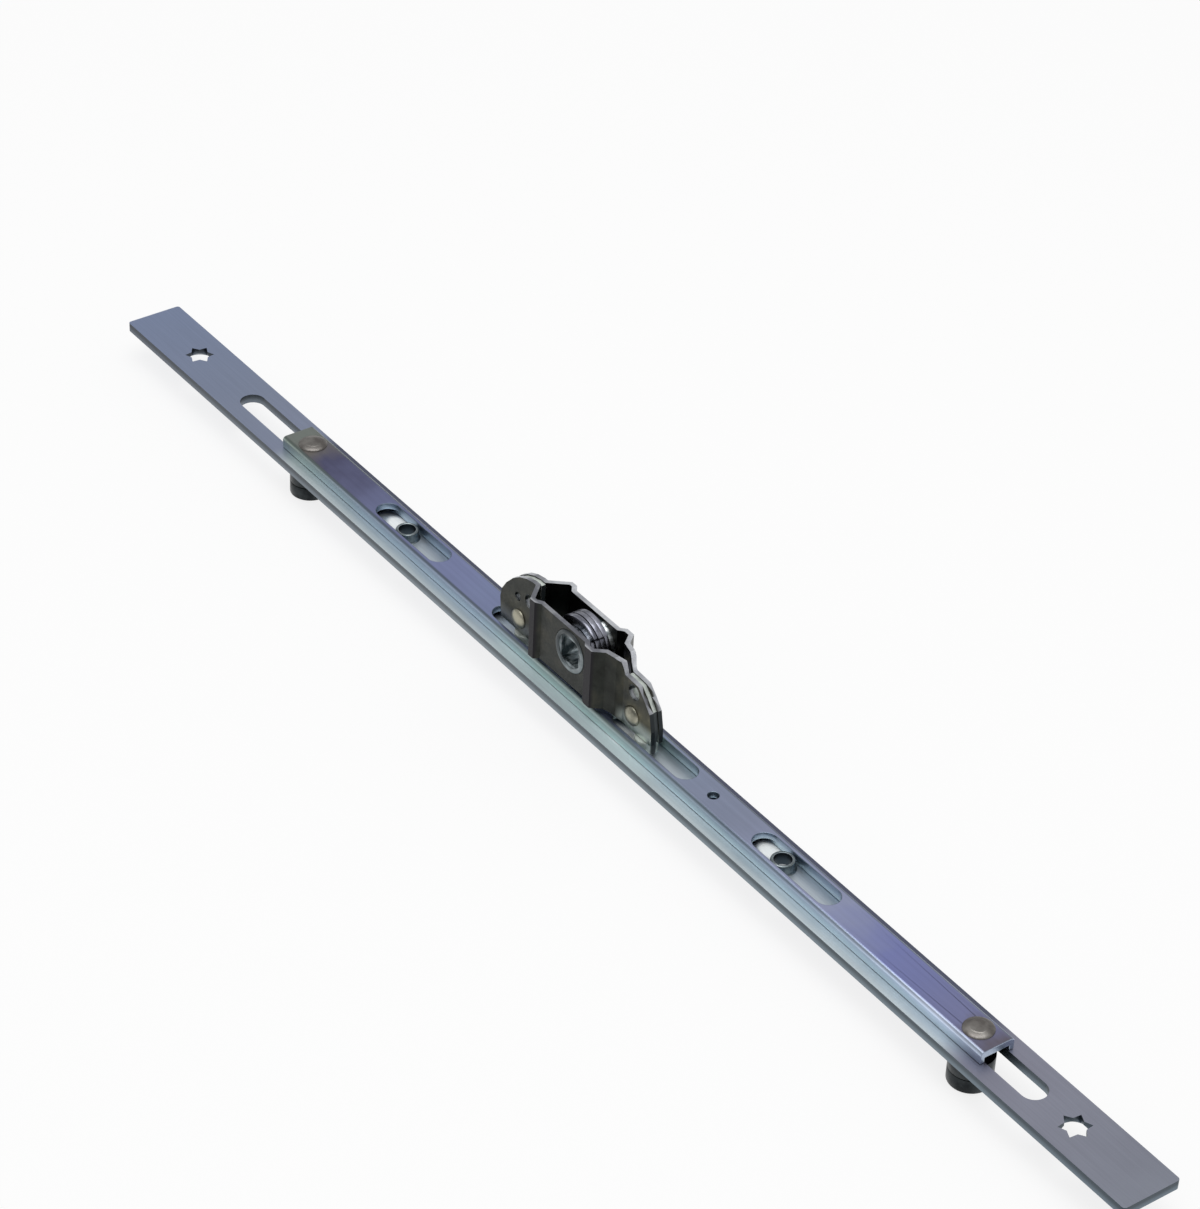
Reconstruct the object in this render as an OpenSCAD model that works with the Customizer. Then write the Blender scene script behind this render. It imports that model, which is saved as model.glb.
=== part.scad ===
// Window espagnolette gearbox: faceplate, two case shells, laminated pinion,
// sliding drive rail and two eccentric locking cams.
// Origin: the spindle axis, on the middle of the faceplate's front face.
// X runs along the faceplate, Y across it, Z from the front face to the rear.
// All sizes are in millimetres.

/* [Faceplate] */
// overall length of the faceplate
plate_length = 409; // [400:1:520]
// width of the faceplate across the groove
plate_width = 16; // [16:0.5:20]
// sheet thickness of the faceplate
plate_thick = 2.5; // [2.2:0.1:3]
// radius of the four corners seen from the front
plate_corner = 0.8; // [0.4:0.1:2]
// distance of the end screw holes from the ends of the faceplate
end_margin = 24.5; // [18:0.5:26]
// radius to the tips of the star-shaped end holes
end_star_r = 3.9; // [3.4:0.1:4.4]
// radius to the notches between the tips
end_star_inner_r = 2.5; // [2:0.1:2.9]
// distance of the middle screw holes from the spindle axis
mid_hole_x = 78; // [77:0.5:79]
// diameter of the middle screw holes
mid_hole_d = 4.4; // [3.8:0.1:4.6]
// diameter of every countersink in the front face
sink_d = 8; // [7.4:0.1:8.2]
// height of the formed boss behind a middle hole
boss_height = 2.6; // [1.5:0.1:3]
// outer diameter of the formed boss at its foot
boss_d = 5.9; // [5.6:0.1:6]
// width of the cam slots
cam_slot_w = 6.8; // [6.6:0.1:8]
// far end of the left cam slot
left_slot_end = -156; // [-162:1:-150]
// near end of the left cam slot
left_slot_start = -112; // [-113:1:-108]
// near end of the right cam slot
right_slot_start = 130.5; // [126:0.5:131]
// far end of the right cam slot
right_slot_end = 169.7; // [164:0.1:171]

/* [Case] */
// backset: spindle axis above the front face
backset = 17.5; // [17.2:0.1:18]
// sheet thickness of one case shell
shell_thick = 1.2; // [1.1:0.1:1.4]
// half the outer width of the case at the spindle
case_half = 5.2; // [5.1:0.1:5.6]
// how far the two ribs of a shell stand out
rib_rise = 1.1; // [0.8:0.1:1.4]
// thickness of the foot tongues between the shells
tongue_thick = 1.2; // [1:0.1:1.6]
// half the spacing of the handle screws
screw_half = 21.5; // [21:0.1:22]
// diameter of the handle screw passages
passage_d = 4.2; // [3.8:0.1:4.4]
// half the spacing of the two feet riveted to the faceplate
foot_x = 25; // [24.5:0.1:25.5]
// diameter of a foot where it passes the rail
foot_d = 5.8; // [5:0.1:5.9]
// diameter of the case rivets
rivet_d = 3; // [2.4:0.1:3.4]
// diameter of a case rivet head
rivet_head_d = 5.2; // [4.6:0.1:5.6]
// height of a case rivet head
rivet_head = 0.8; // [0.5:0.1:1]
// diameter of the small locating hole in the left end of the case
locating_d = 2.4; // [2:0.1:2.6]

/* [Drive rail] */
// width of the rail over its two walls
rail_width = 9.6; // [9.4:0.1:10.2]
// height of the rail top above the front face
rail_top = 5.8; // [5.7:0.1:5.9]
// thickness of the web of the rail
web_thick = 1.8; // [1.6:0.1:2]
// thickness of the two walls of the rail
wall_thick = 1.2; // [1:0.1:1.4]
// radius of the two long bends of the rail
bend_r = 1; // [0.5:0.1:1.2]
// left end of the rail at rest
rail_left = -129.9; // [-140:0.1:-129]
// right end of the rail at rest
rail_right = 154.1; // [153:0.1:160]
// width of the long holes in the web
rail_slot_w = 6.4; // [6.3:0.1:6.6]
// length of the two long holes over the middle bosses
guide_slot_len = 29.4; // [29:0.1:30]
// pitch of the rack windows
rack_pitch = 5; // [4.9:0.02:5.1]
// length of the bars between the rack windows
rack_bar = 2; // [1.7:0.1:2.1]
// width of the rack windows
rack_window_w = 3.8; // [3.4:0.1:4.4]
// diameter of the small locating hole in the web
pip_d = 2.8; // [2:0.1:3.2]
// distance of that hole from the spindle axis at rest
pip_x = 51.4; // [50:0.1:55]

/* [Pinion] */
// depth of the pitch line of the rack below the top of the rail
pitch_drop = 0.3; // [0.2:0.05:0.4]
// height of a tooth above the pitch circle
tooth_tip = 1.6; // [1.3:0.1:1.7]
// depth of a tooth below the pitch circle
tooth_root = 2.1; // [1.8:0.1:2.6]
// size of the square spindle hole
spindle_square = 7; // [6:0.1:7]
// radius of the two hub collars
hub_r = 5.75; // [5.6:0.05:5.8]
// radius of the round back of the three taller pinion plates
back_r = 8.6; // [8:0.1:8.8]
// radius of the pinion plates in the stop notch
notch_r = 6.3; // [6.2:0.1:6.4]
// thickness of one toothed plate
tooth_plate_thick = 1.25; // [1.1:0.05:1.4]
// thickness of one side plate
side_plate_thick = 1.2; // [0.9:0.1:1.2]
// clearance between neighbouring plates
plate_gap = 0.15; // [0.05:0.01:0.2]

/* [Cams] */
// left cam stud axis at rest
left_cam_x = -122.7; // [-123.5:0.1:-122]
// right cam stud axis at rest
right_cam_x = 147.5; // [147:0.1:148]
// outer diameter of a cam
cam_d = 10.6; // [9:0.1:11]
// height of a cam in front of the faceplate
cam_height = 8.4; // [8:0.1:10]
// offset of the cam from its stud
cam_eccentric = 0.9; // [0.3:0.1:1]
// diameter of the stud inside the cam
journal_d = 5; // [4:0.1:5.2]
// diameter of the stud where it passes the faceplate
stud_d = 6.2; // [5.4:0.1:6.2]
// diameter of the riveted head on the rail
stud_head_d = 6.6; // [6:0.1:8]
// depth of the six-lobed key recess
key_depth = 2.6; // [2:0.1:2.8]

/* [Fits] */
// radial clearance of turning joints
run_gap = 0.05; // [0.02:0.01:0.08]
// clearance between parts that slide past each other
slide_gap = 0.3; // [0.2:0.05:0.3]
// clearance of riveted and pressed fits
press_gap = 0.02; // [0.01:0.01:0.03]

/* [View] */
// part shown alone, or all of them

/* [Hidden] */
$fn = 64;
e = 0.01;
shell_in = case_half - shell_thick;
end_out = tongue_thick / 2 + shell_thick;
rib_out = case_half + rib_rise;
end_hole_x = plate_length / 2 - end_margin;
up = backset / 17.5;
along = foot_x / 25;
pitch_r = backset - rail_top + pitch_drop;
tip_r = pitch_r + tooth_tip;
root_r = pitch_r - tooth_root;
tooth_angle = rack_pitch / pitch_r * 180 / PI;
web_low = rail_top - web_thick;
slot_r = rail_slot_w / 2;
left_guide_x = -75.2;
right_guide_x = 82.9;
cam_top = -slide_gap;
cam_low = cam_top - cam_height;
cam_mid = cam_top - cam_height / 2;
ring_wall = 1.25;
left_rivet = [-25.9, 9.8];
right_rivet = [21.2, 10.4];
locating_hole = [-26.6, 16.2];
steel = [0.62, 0.64, 0.7];
dark = [0.22, 0.23, 0.22];
bright = [0.75, 0.76, 0.78];

// turns a profile drawn in x and z into a plate that starts at y0
module side_plate(y0, thick) {
    translate([0, y0 + thick, 0])
        rotate([90, 0, 0])
            linear_extrude(height = thick)
                children();
}

// flat long hole between two x positions
module long_hole(x0, x1, w) {
    translate([x0 + w / 2, -w / 2])
        square([x1 - x0 - w, w]);
    for (x = [x0 + w / 2, x1 - w / 2])
        translate([x, 0])
            circle(d = w);
}

// star outline with six tips
module star(outer, inner) {
    polygon([for (i = [0 : 11])
        let (r = i % 2 == 0 ? outer : inner)
        [r * cos(i * 30), r * sin(i * 30)]]);
}

// countersunk screw hole from the front face
module sunk_hole(x, d) {
    translate([x, 0, -e])
        cylinder(h = plate_thick + boss_height + 1, d = d);
    translate([x, 0, -e])
        cylinder(h = (sink_d - d) / 2 + e, d1 = sink_d, d2 = d);
}

module faceplate_outline() {
    hl = plate_length / 2 - plate_corner;
    hw = plate_width / 2 - plate_corner;
    square([2 * hl, plate_width], center = true);
    square([plate_length, 2 * hw], center = true);
    for (sx = [-1, 1])
        for (sy = [-1, 1])
            translate([sx * hl, sy * hw])
                circle(r = plate_corner);
}

// long strip with cam slots, star holes, bossed holes and foot holes
module faceplate() {
    color(steel)
    difference() {
        union() {
            linear_extrude(height = plate_thick)
                difference() {
                    faceplate_outline();
                    long_hole(left_slot_end, left_slot_start, cam_slot_w);
                    long_hole(right_slot_start, right_slot_end, cam_slot_w);
                    for (s = [-1, 1])
                        translate([s * end_hole_x, 0])
                            star(end_star_r, end_star_inner_r);
                }
            for (s = [-1, 1])
                translate([s * mid_hole_x, 0, plate_thick - e])
                    cylinder(h = boss_height + e, d1 = boss_d, d2 = boss_d - 0.4);
        }
        for (s = [-1, 1]) {
            sunk_hole(s * mid_hole_x, mid_hole_d);
            translate([s * end_hole_x, 0, -e])
                cylinder(h = 1.5, d1 = sink_d, d2 = sink_d - 3);
            translate([s * foot_x, 0, -e])
                cylinder(h = plate_thick + 1, r = 2.5 + press_gap);
            translate([s * foot_x, 0, -e])
                cylinder(h = 0.9 + e, r1 = 3.4 + press_gap, r2 = 2.5 + press_gap);
        }
    }
}

// side view of both shells, x along the plate and z as height
module case_profile() {
    difference() {
        scale([along, up])
            polygon([[-33.4, 6.2], [-34, 12], [-33.4, 14.6], [-31.6, 17.4],
                [-28.9, 20.3], [-26.2, 22.2], [-23.4, 23.4], [-20.6, 24],
                [-13.6, 24.2], [-11.8, 24], [5.6, 24], [7.4, 24.2],
                [14.8, 24], [16.6, 23.5], [17.7, 20.4], [23.1, 20.1],
                [25.5, 17.7], [27.9, 14.9], [28.9, 10], [29, 6.2],
                [17, 6.2], [15, 7.3], [8, 7.3], [6.8, 7.8], [-12.4, 7.8],
                [-13.4, 7.3], [-18.6, 7.3], [-20, 6.2]]);
        translate([0, backset])
            circle(r = hub_r + run_gap);
        for (s = [-1, 1])
            translate([s * screw_half, backset])
                circle(d = passage_d);
        for (p = [left_rivet, right_rivet])
            translate(p)
                circle(d = rivet_d + 2 * press_gap);
        translate(locating_hole)
            circle(d = locating_d);
    }
}

// plan of one shell: flat ends, two standing ribs and a flat middle
module shell_plan() {
    t = tongue_thick / 2;
    rib_in = rib_out - shell_thick;
    scale([along, 1])
    polygon([[-35, t], [-18.9, t], [-14.9, rib_in], [-14, rib_in],
        [-12.6, shell_in], [6.3, shell_in], [7.8, rib_in],
        [9.3, rib_in], [11.4, t + 1.8], [14.9, t + 1], [16.8, t],
        [35, t], [35, end_out], [17.3, end_out], [15.4, end_out + 1],
        [12.1, end_out + 1.8], [9.9, rib_out], [7.3, rib_out],
        [5.8, case_half], [-12.1, case_half], [-13.5, rib_out],
        [-15.4, rib_out], [-19.4, end_out], [-35, end_out]]);
}

// one pressed shell of the gear case, on the side of positive y
module shell_body() {
    intersection() {
        translate([0, 0, 4])
            linear_extrude(height = 26 * up)
                shell_plan();
        side_plate(0, 12)
            case_profile();
    }
}

module near_shell() {
    color(dark)
        mirror([0, 1, 0])
            shell_body();
}

module far_shell() {
    color(dark)
        shell_body();
}

// the tongues end just below the upper edge of the shells
module left_tongue() {
    scale([along, up])
        polygon([[-33.1, 6.7], [-33.7, 12], [-33.1, 14.5], [-31.35, 17.2],
            [-28.7, 20], [-26.05, 21.9], [-23.3, 23.1], [-20.6, 23.7],
            [-18.6, 23.7], [-18.6, 6.7], [-22.6, 6.7], [-22.6, 4.4], [-27.4, 4.4],
            [-27.4, 6.7]]);
}

module right_tongue() {
    scale([along, up])
        polygon([[28.7, 6.7], [28.6, 10], [27.6, 14.8], [25.25, 17.5],
            [22.95, 19.8], [17.7, 20.1], [17.3, 19], [17.3, 6.7],
            [22.6, 6.7], [22.6, 4.4], [27.4, 4.4], [27.4, 6.7]]);
}

// foot: flat tongue between the shells, round shank and flush riveted end
module foot(s, rivet) {
    difference() {
        union() {
            side_plate(-tongue_thick / 2, tongue_thick)
                children();
            translate([s * foot_x, 0, plate_thick])
                cylinder(h = 6 * up - plate_thick, d = foot_d);
            translate([s * foot_x, 0, 0])
                cylinder(h = plate_thick + e, r = 2.5);
            translate([s * foot_x, 0, 0])
                cylinder(h = 0.9, r1 = 3.4, r2 = 2.5);
        }
        side_plate(-5, 10)
            translate([s * screw_half, backset])
                circle(d = passage_d);
        side_plate(-5, 10)
            translate(rivet)
                circle(d = rivet_d + 2 * press_gap);
        side_plate(-5, 10)
            translate(locating_hole)
                circle(d = locating_d);
    }
}

module left_foot() {
    color(steel)
        foot(-1, left_rivet)
            left_tongue();
}

module right_foot() {
    color(steel)
        foot(1, right_rivet)
            right_tongue();
}

// rivet that clamps the two shells on a tongue, with bevelled heads
module case_rivet(spot) {
    translate([spot[0], 0, spot[1]])
        rotate([90, 0, 0]) {
            cylinder(h = 2 * end_out, d = rivet_d, center = true);
            for (m = [0, 1])
                mirror([0, 0, m])
                    translate([0, 0, end_out]) {
                        cylinder(h = rivet_head / 2, d = rivet_head_d);
                        translate([0, 0, rivet_head / 2])
                            cylinder(h = rivet_head / 2, d1 = rivet_head_d,
                                d2 = rivet_head_d - 1.6);
                    }
        }
}

module left_case_rivet() {
    color(bright)
        case_rivet(left_rivet);
}

module right_case_rivet() {
    color(bright)
        case_rivet(right_rivet);
}

module spindle_hole() {
    square(spindle_square, center = true);
}

// half of the pinion hub: collar in the shell, thin sleeve under the plates
module hub_half() {
    stack = tooth_plate_thick + side_plate_thick + 2 * plate_gap;
    translate([0, 0, backset])
        rotate([-90, 0, 0])
            difference() {
                union() {
                    translate([0, 0, stack])
                        cylinder(h = case_half - stack, r = hub_r);
                    cylinder(h = stack + e, r = 5.25);
                }
                translate([0, 0, -e])
                    linear_extrude(height = case_half + 1)
                        spindle_hole();
            }
}

module near_hub() {
    color(bright)
        mirror([0, 1, 0])
            hub_half();
}

module far_hub() {
    color(bright)
        hub_half();
}

// one tooth with straight flanks and a chamfered tip, pointing down
module tooth() {
    polygon([[-1.9, -root_r + 0.6], [-1.15, -pitch_r], [-0.75, -tip_r + 0.35],
        [-0.4, -tip_r], [0.4, -tip_r], [0.75, -tip_r + 0.35],
        [1.15, -pitch_r], [1.9, -root_r + 0.6]]);
}

// round back of a plate: from the toothed sector over the top to the notch
module back_sector() {
    circle(r = notch_r);
    intersection() {
        circle(r = back_r);
        polygon([[0, 0], [12, 12], [12, 20], [-20, 20], [-20, -6]]);
    }
}

// toothed sector that drives the rack windows of the rail
module toothed_profile() {
    difference() {
        union() {
            back_sector();
            polygon(concat([[0, 0]],
                [for (a = [-58 : 7 : 82]) [root_r * sin(a), -root_r * cos(a)]]));
            for (k = [-2 : 3])
                rotate(k * tooth_angle)
                    tooth();
        }
        circle(r = 5.25 + press_gap);
        plate_rivet_holes();
    }
}

plate_rivet_spots = [[-2.6, -7.0], [3.6, -6.6], [7.2, -1.6]];

module plate_rivet_holes() {
    for (p = plate_rivet_spots)
        translate(p)
            circle(d = 1.6 + 2 * press_gap);
}

// plain side plate without teeth
module plain_profile() {
    difference() {
        union() {
            children();
            polygon(concat([[0, 0]],
                [for (a = [-46 : 7 : 94]) [8.9 * sin(a), -8.9 * cos(a)]]));
        }
        circle(r = 5.25 + press_gap);
        plate_rivet_holes();
    }
}

module pinion_plate(y0, thick) {
    translate([0, 0, backset])
        side_plate(y0, thick)
            children();
}

module near_tooth_plate() {
    color(bright)
        pinion_plate(-plate_gap / 2 - tooth_plate_thick, tooth_plate_thick)
            toothed_profile();
}

module far_tooth_plate() {
    color(bright)
        pinion_plate(plate_gap / 2, tooth_plate_thick)
            toothed_profile();
}

module near_side_plate() {
    color(steel)
        pinion_plate(-1.5 * plate_gap - tooth_plate_thick - side_plate_thick,
            side_plate_thick)
            plain_profile()
                back_sector();
}

module far_side_plate() {
    color(steel)
        pinion_plate(1.5 * plate_gap + tooth_plate_thick, side_plate_thick)
            plain_profile()
                circle(r = notch_r);
}

// rivets through the four plates of the pinion
module plate_rivets() {
    reach = 1.5 * plate_gap + tooth_plate_thick + side_plate_thick + 0.25;
    color(bright)
        translate([0, 0, backset])
            for (p = plate_rivet_spots)
                translate([p[0], 0, p[1]])
                    rotate([90, 0, 0])
                        cylinder(h = 2 * reach, d = 1.6, center = true);
}

// cross-section of the rail, y to the right and z upwards
module rail_section() {
    low = plate_thick + 0.1;
    difference() {
        union() {
            translate([-rail_width / 2, low])
                square([rail_width, rail_top - bend_r - low]);
            translate([bend_r - rail_width / 2, low])
                square([rail_width - 2 * bend_r, rail_top - low]);
            for (s = [-1, 1])
                translate([s * (rail_width / 2 - bend_r), rail_top - bend_r])
                    circle(r = bend_r);
        }
        translate([wall_thick - rail_width / 2, 0])
            square([rail_width - 2 * wall_thick, web_low]);
    }
}

// channel-shaped rail, open towards the faceplate, with a rack of windows
module drive_rail() {
    color(steel)
    difference() {
        translate([rail_left, 0, 0])
            rotate([90, 0, 90])
                linear_extrude(height = rail_right - rail_left)
                    rail_section();
        translate([0, 0, web_low - 1])
            linear_extrude(height = web_thick + 2) {
                for (k = [-2 : 3])
                    translate([k * rack_pitch, 0])
                        square([rack_pitch - rack_bar, rack_window_w], center = true);
                long_hole(-37.4, -8.7, rail_slot_w);
                long_hole(13.6, 43.6, rail_slot_w);
                long_hole(left_guide_x - guide_slot_len / 2,
                    left_guide_x + guide_slot_len / 2, rail_slot_w);
                long_hole(right_guide_x - guide_slot_len / 2,
                    right_guide_x + guide_slot_len / 2, rail_slot_w);
                translate([pip_x, 0])
                    circle(d = pip_d);
                for (x = [left_cam_x, right_cam_x])
                    translate([x, 0])
                        circle(d = 4 + 2 * press_gap);
            }
    }
}

// cam stud: riveted head, shank in the web, shoulder and journal
module stud(x) {
    translate([x, 0, 0]) {
        translate([0, 0, rail_top])
            cylinder(h = 0.45, d = stud_head_d);
        translate([0, 0, rail_top + 0.45])
            cylinder(h = 0.4, d1 = stud_head_d, d2 = stud_head_d - 2.4);
        translate([0, 0, web_low - e])
            cylinder(h = web_thick + 2 * e, d = 4);
        translate([0, 0, cam_top + 0.1])
            cylinder(h = web_low - cam_top - 0.1, d = stud_d);
        translate([0, 0, cam_low + key_depth + 1])
            cylinder(h = cam_top - cam_low - key_depth - 0.8, d = journal_d);
    }
}

module left_stud() {
    color(dark)
        stud(left_cam_x);
}

module right_stud() {
    color(dark)
        stud(right_cam_x);
}

// eccentric cam body with a blind bore and a key recess
module cam(x) {
    translate([x, 0, 0])
        difference() {
            translate([0, -cam_eccentric, 0]) {
                difference() {
                    union() {
                        translate([0, 0, cam_mid])
                            cylinder(h = cam_top - cam_mid, d = cam_d);
                        translate([0, 0, cam_low])
                            cylinder(h = cam_mid - cam_low + e,
                                d = cam_d - 2 * ring_wall);
                    }
                    translate([0, 0, cam_low - e])
                        linear_extrude(height = key_depth + e)
                            star(2.7, 1.8);
                }
            }
            translate([0, 0, cam_low + key_depth + 0.8])
                cylinder(h = cam_height, d = journal_d + 2 * run_gap);
        }
}

// plain sleeve around the lower half of the cam
module cam_ring(x) {
    translate([x, -cam_eccentric, cam_low + 0.3])
        difference() {
            cylinder(h = cam_mid - cam_low - 0.5, d = cam_d);
            translate([0, 0, -e])
                cylinder(h = cam_mid - cam_low, d = cam_d - 2 * ring_wall + 2 * press_gap);
        }
}

module left_cam() {
    color(dark)
        cam(left_cam_x);
}

module left_cam_ring() {
    color(dark)
        cam_ring(left_cam_x);
}

module right_cam() {
    color(dark)
        cam(right_cam_x);
}

module right_cam_ring() {
    color(dark)
        cam_ring(right_cam_x);
}

faceplate();
near_shell();
far_shell();
left_foot();
right_foot();
left_case_rivet();
right_case_rivet();
near_hub();
far_hub();
near_tooth_plate();
far_tooth_plate();
near_side_plate();
far_side_plate();
plate_rivets();
drive_rail();
left_stud();
right_stud();
left_cam();
left_cam_ring();
right_cam();
right_cam_ring();
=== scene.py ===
import math
import bmesh
import bpy
import numpy as np
from mathutils import Matrix


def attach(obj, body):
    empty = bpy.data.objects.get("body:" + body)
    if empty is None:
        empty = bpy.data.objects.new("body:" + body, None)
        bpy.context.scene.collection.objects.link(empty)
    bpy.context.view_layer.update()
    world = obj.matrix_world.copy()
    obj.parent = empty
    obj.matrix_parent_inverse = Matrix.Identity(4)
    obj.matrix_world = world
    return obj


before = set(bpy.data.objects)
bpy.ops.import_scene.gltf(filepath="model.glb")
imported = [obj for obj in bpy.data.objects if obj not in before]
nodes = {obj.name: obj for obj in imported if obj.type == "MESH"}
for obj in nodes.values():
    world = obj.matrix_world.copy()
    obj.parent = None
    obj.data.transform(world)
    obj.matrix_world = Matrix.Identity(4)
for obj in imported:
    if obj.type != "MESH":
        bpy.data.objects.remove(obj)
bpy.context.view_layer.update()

mm = 0.001


def linearColor(hexText):  # sRGB hex text to a linear RGBA tuple
    text = hexText.lstrip("#")
    parts = [int(text[i:i + 2], 16) / 255.0 for i in (0, 2, 4)]
    return tuple(c / 12.92 if c <= 0.04045 else ((c + 0.055) / 1.055) ** 2.4 for c in parts) + (1.0,)


def addNode(tree, kind, settings=None, values=None, links=None):  # one node with its settings, values and incoming links
    node = tree.nodes.new(kind)
    for name, value in (settings or {}).items():
        setattr(node, name, value)
    for name, value in (values or {}).items():
        node.inputs[name].default_value = value
    for name, source in (links or {}).items():
        tree.links.new(source, node.inputs[name])
    return node


def fillRamp(node, stops):  # stops is a list of (position, hex) or (position, grey level)
    ramp = node.color_ramp
    while len(ramp.elements) < len(stops):
        ramp.elements.new(0.5)
    for element, (position, tone) in zip(ramp.elements, stops):
        element.position = position
        element.color = linearColor(tone) if isinstance(tone, str) else (tone, tone, tone, 1.0)


def startFinish(name):  # empty material with a shader, returns material, tree, shader
    material = bpy.data.materials.new(name)
    material.use_nodes = True
    tree = material.node_tree
    tree.nodes.clear()
    shader = addNode(tree, "ShaderNodeBsdfPrincipled")
    addNode(tree, "ShaderNodeOutputMaterial", links={"Surface": shader.outputs["BSDF"]})
    return material, tree, shader


zincPlate = {
    "alongMm": (-210.0, 210.0),
    # top colours along X: partly passivation tint, partly painted reflection of the room
    "alongColors": [(0.0, "#94a2c2"), (0.14, "#99a3bb"), (0.3, "#9da4bc"), (0.62, "#9fa4b8"), (0.78, "#9b99ac"), (1.0, "#979ca9")],
    # sheared sides, darker and rougher, with painted reflection tints along X
    "sideColors": [(0.0, "#40454d"), (0.4, "#5f666b"), (0.7, "#596268"), (1.0, "#49525a")],
    # painted light: gain on the lowest part of the side faces
    "sideFootGlowGain": 2.2,
    "streakMm": 0.5,
    "cloudMm": 30.0,
    "roughness": (0.34, 0.46),
    "bumpMm": 0.02,
}
zincRail = {
    "alongMm": (-130.0, 155.0),
    # painted reflection: top, wall and crest colours along X stand for the room mirrored in the zinc, dark near the
    # left stud, bright walls on the right
    "alongColors": [(0.0, "#8b928d"), (0.035, "#837f7b"), (0.07, "#606180"), (0.12, "#7c81a6"), (0.28, "#929bc4"), (0.45, "#94a4be"),
                    (0.67, "#9ca4bd"), (0.8, "#a9b0d0"), (0.86, "#8e95cc"), (0.96, "#8a8eb6"), (0.985, "#77727f"), (1.0, "#645e66")],
    "sideColors": [(0.0, "#c3d3cd"), (0.06, "#c0d2d2"), (0.12, "#c4d5e3"), (0.3, "#d3e4f4"), (0.39, "#dbeeea"), (0.52, "#dcefec"), (0.62, "#d9ebf2"), (0.8, "#daecf7"), (0.86, "#cddfe9"), (0.95, "#c8d7e4"), (1.0, "#8d99a8")],
    "crestColors": [(0.0, "#96a49d"), (0.06, "#92a1a3"), (0.12, "#93a3b5"), (0.3, "#9ba9bf"), (0.39, "#9babaa"), (0.52, "#9babab"), (0.67, "#91a1b4"), (0.8, "#a3b2c6"), (0.86, "#c5d3e9"), (0.95, "#dce8ff"), (1.0, "#9aa6b8")],
    # painted shade darkening the bend of each fold
    "bendShade": [(0.55, 1.0), (0.78, 0.5), (0.95, 0.55), (1.0, 1.0)],
    "sideFootGlowGain": 1.0,
    "streakMm": 0.8,
    "cloudMm": 24.0,
    "roughness": (0.32, 0.44),
    "bumpMm": 0.012,
}
paintedRailLight = {  # painted light and shade around the rail: the strip beside and beneath the rail painted brighter, its far margin painted darker, painted highlights and painted dark hole mouths
    "spanMm": (-131.0, -121.0, 141.0, 153.0),
    "acrossColors": [(0.0, "#dfeaee"), (0.13, "#d8e4e9"), (0.2, "#dfe8ee"), (0.74, "#ccd6df"), (0.83, "#6c7084"), (1.0, "#64687b")],
    "marginGlowMm": (-34.0, -22.0, 26.0, 42.0),  # stretch along X where the near margin gets a painted pale glow
    "marginGlowColor": "#bfd1d4",
    "bossX": 78.0,
    "holeR": 2.34,
    "highlightShift": (-6.4, 1.4),
    "highlightSize": (4.4, 3.0),
    "footHighlightAt": (19.0, -2.0),  # painted highlight beside the right foot, in the slot of the rail
    "footHighlightSize": (9.5, 3.6),
}
darkCase = {
    "faceColors": ["#252624", "#323431", "#42413a"],
    "rimColors": ["#85878f", "#e2e5ea"],
    "endShadeColor": "#34383a",  # painted shade on the rims that face along X
    # painted shade on the rib fronts
    "ribShadeColor": "#29282b",
    "lowReflectionColors": ["#868989", "#dde8e0"],  # painted reflection of the bright strip on the lowest part of the end portions, left and right
    "endReflectionColors": ["#272825", "#747059", "#d2cbb0"],  # painted reflection in olive and beige blotches on the end portions, low down and stronger on the right
    "grainMm": 0.45,
    "cloudMm": 6.0,
    "roughness": (0.28, 0.46),
}


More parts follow.
